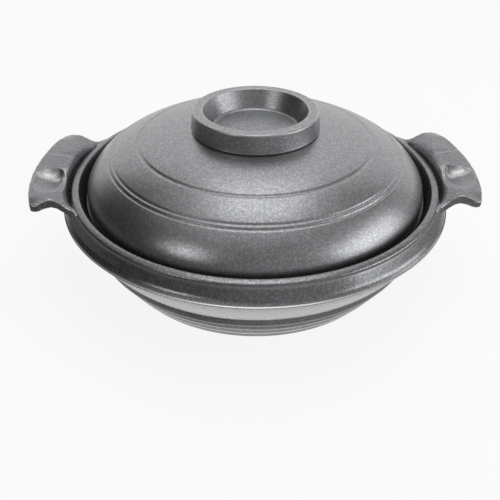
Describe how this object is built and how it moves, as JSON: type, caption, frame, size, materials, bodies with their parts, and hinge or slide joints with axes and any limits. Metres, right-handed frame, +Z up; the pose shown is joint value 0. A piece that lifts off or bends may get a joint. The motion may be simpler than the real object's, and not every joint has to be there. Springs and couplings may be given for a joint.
{
  "type": "lidded cooking pot",
  "caption": "Shallow round cast pot with flared rim, stepped lower body and notched ear handles, under a domed lid with turned grooves and a ring knob that lifts off.",
  "frame": {"origin": "centre of the flat base, on the surface the pot stands on", "axes": "+Z up along the axis of the pot and lid, X through the two ears, -Y towards the front, where the thumb scoops lie"},
  "size_m": [0.2538, 0.2206, 0.0932],
  "materials": {
    "pot_coat": "satin dark grey speckled coating on cast metal, black non-stick inside",
    "lid_coat": "satin dark grey speckled coating on cast metal",
    "knob_coat": "satin dark grey speckled coating, worn bright at the edges",
    "washer_steel": "plain bright",
    "screw_steel": "plain bright"
  },
  "bodies": {
    "pot": {"pot": "pot_coat"},
    "lid": {"lid": "lid_coat", "lid_knob": "knob_coat", "knob_washer": "washer_steel", "knob_screw": "screw_steel"}
  },
  "joints": [
    {"name": "lid_lift", "type": "slide", "parent": "pot", "child": "lid", "axis": [0, 0, 1], "range_m": [0, 0.12]}
  ]
}
